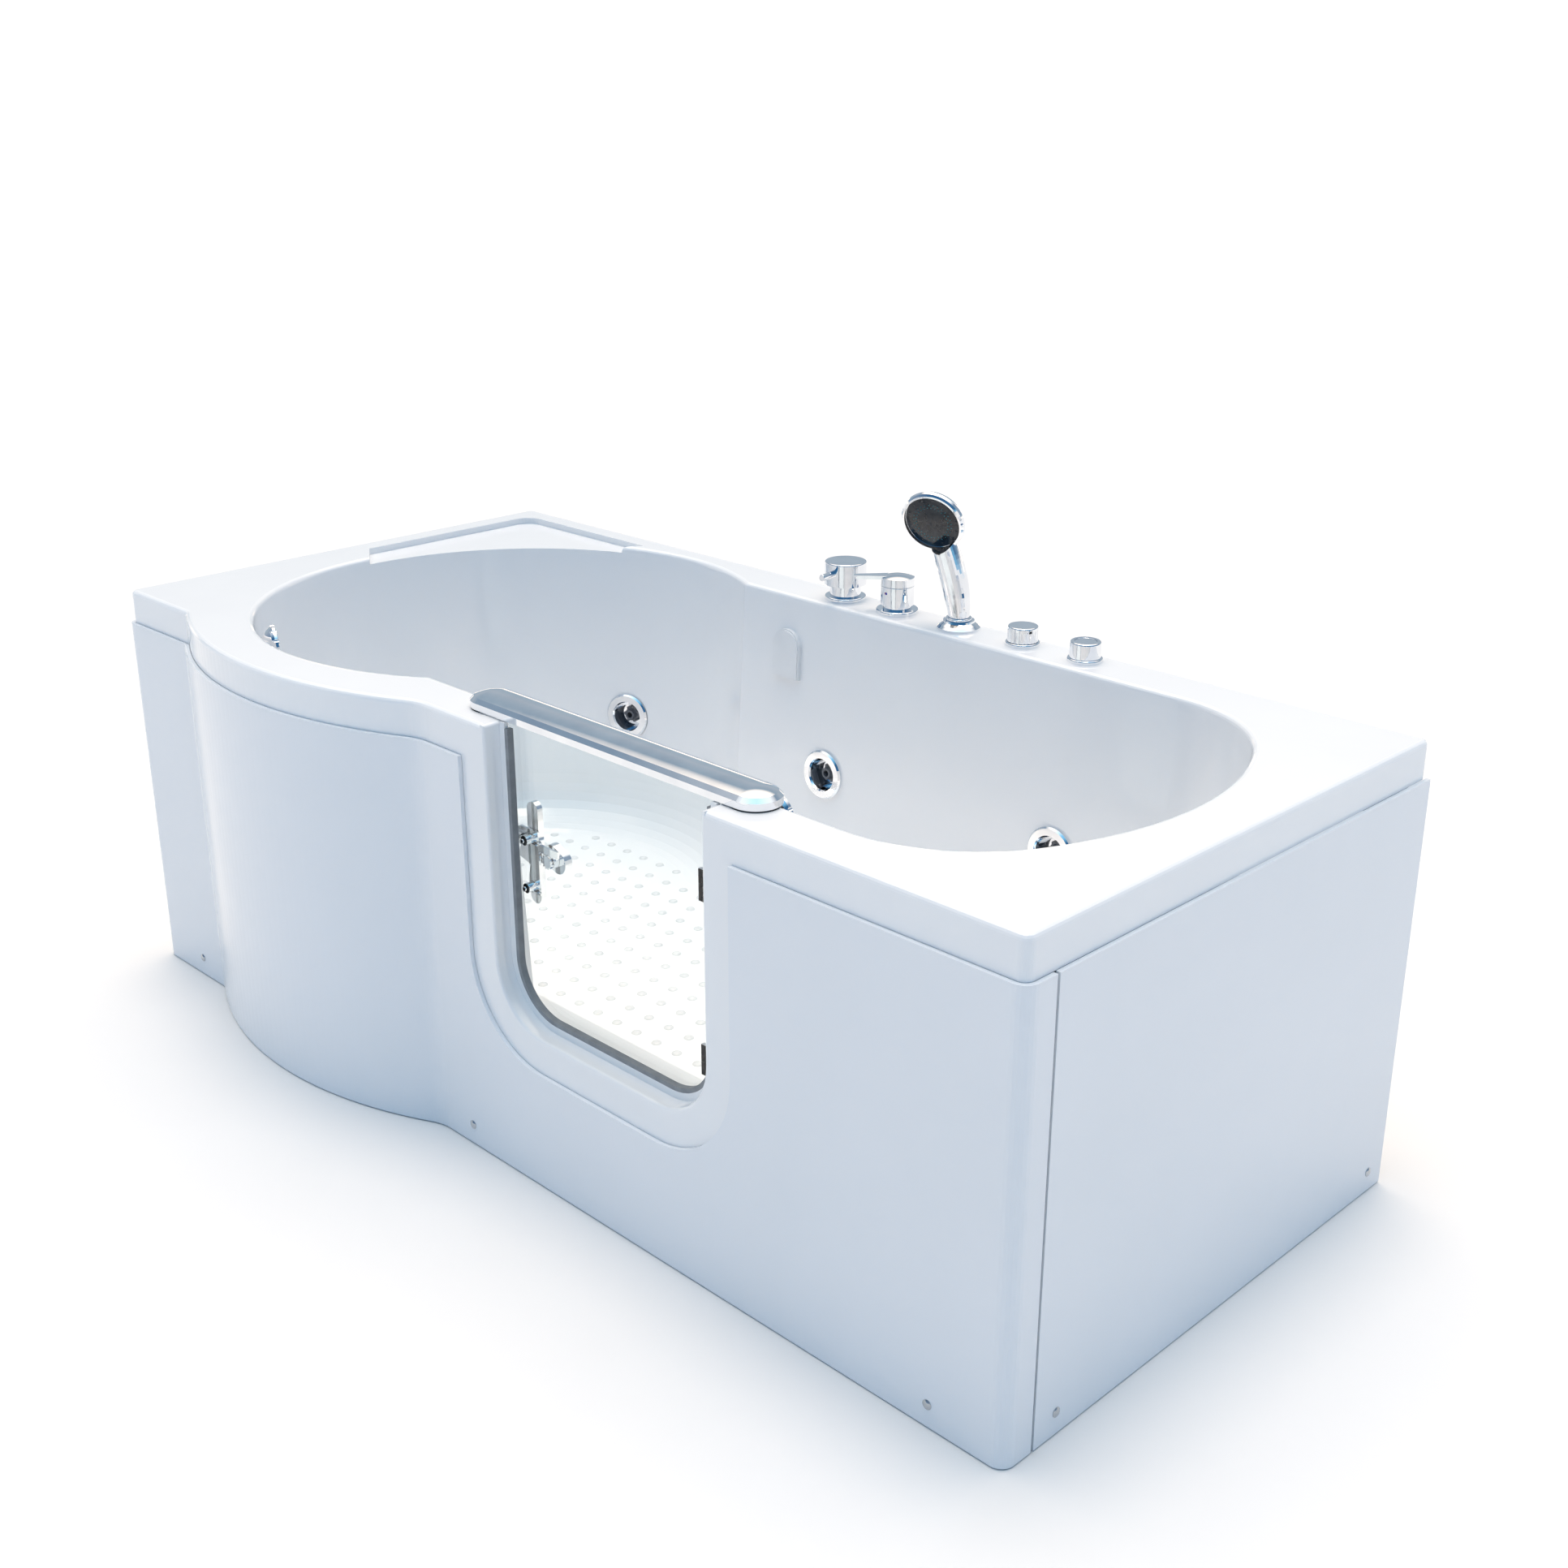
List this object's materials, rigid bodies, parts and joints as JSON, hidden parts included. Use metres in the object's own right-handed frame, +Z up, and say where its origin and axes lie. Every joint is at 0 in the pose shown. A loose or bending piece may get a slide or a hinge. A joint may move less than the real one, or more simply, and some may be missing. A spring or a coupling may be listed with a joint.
{
  "type": "walk-in bathtub",
  "caption": "Walk-in bathtub with a round seat end, an inward-swinging glass door, chrome latch and rail, massage jets, deck fittings, hand shower, drains and a steel frame.",
  "frame": {"origin": "middle of the footprint, on the floor", "axes": "+X along the tub towards the door end, +Y towards the wall side with the deck fittings, +Z up"},
  "size_m": [1.7172, 0.838, 0.7971],
  "materials": {
    "acrylic": "glossy cast acrylic",
    "panel_acrylic": "glossy acrylic sheet",
    "plywood": "plain plywood",
    "bracket_plastic": "moulded nylon",
    "screw_steel": "plated screws",
    "frame_paint": "galvanised and painted steel tube",
    "foot_steel": "zinc plated threaded studs",
    "foot_rubber": "moulded rubber",
    "seal_rubber": "grey silicone",
    "door_glass": "clear toughened glass",
    "chrome": "polished chrome plate",
    "pad_rubber": "moulded rubber",
    "hinge_steel": "satin stainless steel",
    "nozzle_plastic": "moulded plastic",
    "pipe_plastic": "white PVC",
    "pump_plastic": "black moulded plastic",
    "motor_paint": "painted cast housing",
    "cover_plastic": "white gloss plastic",
    "drain_plastic": "black polypropylene",
    "brass": "plain brass",
    "spray_plastic": "black gloss with soft nozzles"
  },
  "bodies": {
    "tub": {"tub_shell": "acrylic", "base_board": "plywood", "front_panel": "panel_acrylic", "left_panel": "panel_acrylic", "right_panel": "panel_acrylic", "panel_brackets": "bracket_plastic", "panel_screws": "screw_steel", "frame_long_rails": "frame_paint", "frame_crossbars": "frame_paint", "frame_posts": "frame_paint", "frame_panel_rails": "frame_paint", "foot_studs": "foot_steel", "foot_pads": "foot_rubber", "door_seal": "seal_rubber", "rail_pads": "pad_rubber", "hinge_brackets": "hinge_steel", "hinge_pins": "hinge_steel", "latch_keeper": "chrome", "jet_rings": "chrome", "jet_bodies": "pipe_plastic", "jet_pipes": "pipe_plastic", "pump_motor": "motor_paint", "pump_volute": "pump_plastic", "pump_base": "pump_plastic", "suction_cover": "chrome", "suction_body": "pipe_plastic", "suction_pipe": "pipe_plastic", "inlet_cover": "cover_plastic", "overflow_bodies": "drain_plastic", "overflow_pipes": "drain_plastic", "drain_flanges": "chrome", "drain_traps": "pipe_plastic", "deck_nuts": "brass", "diverter_base": "chrome", "mixer_base": "chrome", "shower_holder": "chrome", "air_valve_base": "chrome", "switch_base": "chrome"},
    "door": {"door_glass": "door_glass", "door_rail": "chrome", "hinge_leaves": "hinge_steel", "latch_posts": "chrome", "latch_bar": "chrome"},
    "hand_shower": {"hand_shower": "chrome", "spray_face": "spray_plastic"},
    "latch_slide": {"latch_slide": "chrome"},
    "latch_knob": {"latch_knob": "chrome"},
    "jet_nozzle_1": {"jet_nozzle_1": "nozzle_plastic"},
    "jet_nozzle_2": {"jet_nozzle_2": "nozzle_plastic"},
    "jet_nozzle_3": {"jet_nozzle_3": "nozzle_plastic"},
    "drain_knob_left": {"drain_knob_left": "chrome"},
    "drain_knob_right": {"drain_knob_right": "chrome"},
    "drain_plug_left": {"drain_plug_left": "chrome"},
    "drain_plug_right": {"drain_plug_right": "chrome"},
    "diverter_knob": {"diverter_knob": "chrome"},
    "mixer_swivel": {"mixer_swivel": "chrome"},
    "mixer_lever": {"mixer_lever": "chrome"},
    "shower_socket": {"shower_socket": "chrome"},
    "air_valve_knob": {"air_valve_knob": "chrome"},
    "switch_button": {"switch_button": "chrome"}
  },
  "joints": [
    {"name": "door_swing", "type": "hinge", "parent": "tub", "child": "door", "pos_m": [0.408, -0.285, 0.4], "axis": [0, 0, -1], "range_deg": [0, 90]},
    {"name": "latch_turn", "type": "hinge", "parent": "door", "child": "latch_knob", "pos_m": [0.0775, -0.277, 0.426], "axis": [0, -1, 0], "range_deg": [0, 74.9]},
    {"name": "latch_bolt", "type": "slide", "parent": "door", "child": "latch_slide", "axis": [-1, 0, 0], "range_m": [0, 0.012]},
    {"name": "nozzle_turn_1", "type": "hinge", "parent": "tub", "child": "jet_nozzle_1", "pos_m": [-0.51655, 0.34408, 0.317], "axis": [0.3497, -0.9354, 0.0523], "continuous": true},
    {"name": "nozzle_turn_2", "type": "hinge", "parent": "tub", "child": "jet_nozzle_2", "pos_m": [-0.046, 0.32543, 0.343], "axis": [0, -0.9986, 0.0523], "continuous": true},
    {"name": "nozzle_turn_3", "type": "hinge", "parent": "tub", "child": "jet_nozzle_3", "pos_m": [0.38, 0.32543, 0.343], "axis": [0, -0.9986, 0.0523], "continuous": true},
    {"name": "drain_turn_left", "type": "hinge", "parent": "tub", "child": "drain_knob_left", "pos_m": [-0.53004, -0.31523, 0.573], "axis": [0.3741, 0.9259, 0.0523], "range_deg": [0, 90]},
    {"name": "drain_lift_left", "type": "slide", "parent": "tub", "child": "drain_plug_left", "axis": [0, 0, 1], "range_m": [0, 0.0101]},
    {"name": "drain_turn_right", "type": "hinge", "parent": "tub", "child": "drain_knob_right", "pos_m": [0.4265, -0.26948, 0.573], "axis": [0, 0.9986, 0.0523], "range_deg": [0, 90]},
    {"name": "drain_lift_right", "type": "slide", "parent": "tub", "child": "drain_plug_right", "axis": [0, 0, 1], "range_m": [0, 0.0101]},
    {"name": "diverter_turn", "type": "hinge", "parent": "tub", "child": "diverter_knob", "pos_m": [-0.058, 0.3818, 0.64], "axis": [0, 0, 1], "range_deg": [-60, 60]},
    {"name": "mixer_swivel", "type": "hinge", "parent": "tub", "child": "mixer_swivel", "pos_m": [0.044, 0.3818, 0.63], "axis": [0, 0, 1], "range_deg": [-20, 60]},
    {"name": "mixer_lift", "type": "hinge", "parent": "mixer_swivel", "child": "mixer_lever", "pos_m": [0.06299, 0.39648, 0.6423], "axis": [-0.6115, 0.7912, 0], "range_deg": [0, 12]},
    {"name": "shower_turn", "type": "hinge", "parent": "tub", "child": "shower_socket", "pos_m": [0.159, 0.3818, 0.61], "axis": [0, 0, 1], "range_deg": [-60, 60]},
    {"name": "shower_lift", "type": "slide", "parent": "shower_socket", "child": "hand_shower", "axis": [0, 0, 1], "range_m": [0, 0.2]},
    {"name": "air_turn", "type": "hinge", "parent": "tub", "child": "air_valve_knob", "pos_m": [0.272, 0.3818, 0.62], "axis": [0, 0, 1], "range_deg": [0, 90]},
    {"name": "switch_press", "type": "slide", "parent": "tub", "child": "switch_button", "axis": [0, 0, -1], "range_m": [0, 0.003], "stiffness_N_per_m": 400}
  ],
  "couplings": [
    {"joint": "latch_bolt", "follows": "latch_turn", "m_per_rad": 0.0091673},
    {"joint": "drain_lift_left", "follows": "drain_turn_left", "m_per_rad": 0.0063662},
    {"joint": "drain_lift_right", "follows": "drain_turn_right", "m_per_rad": 0.0063662}
  ]
}
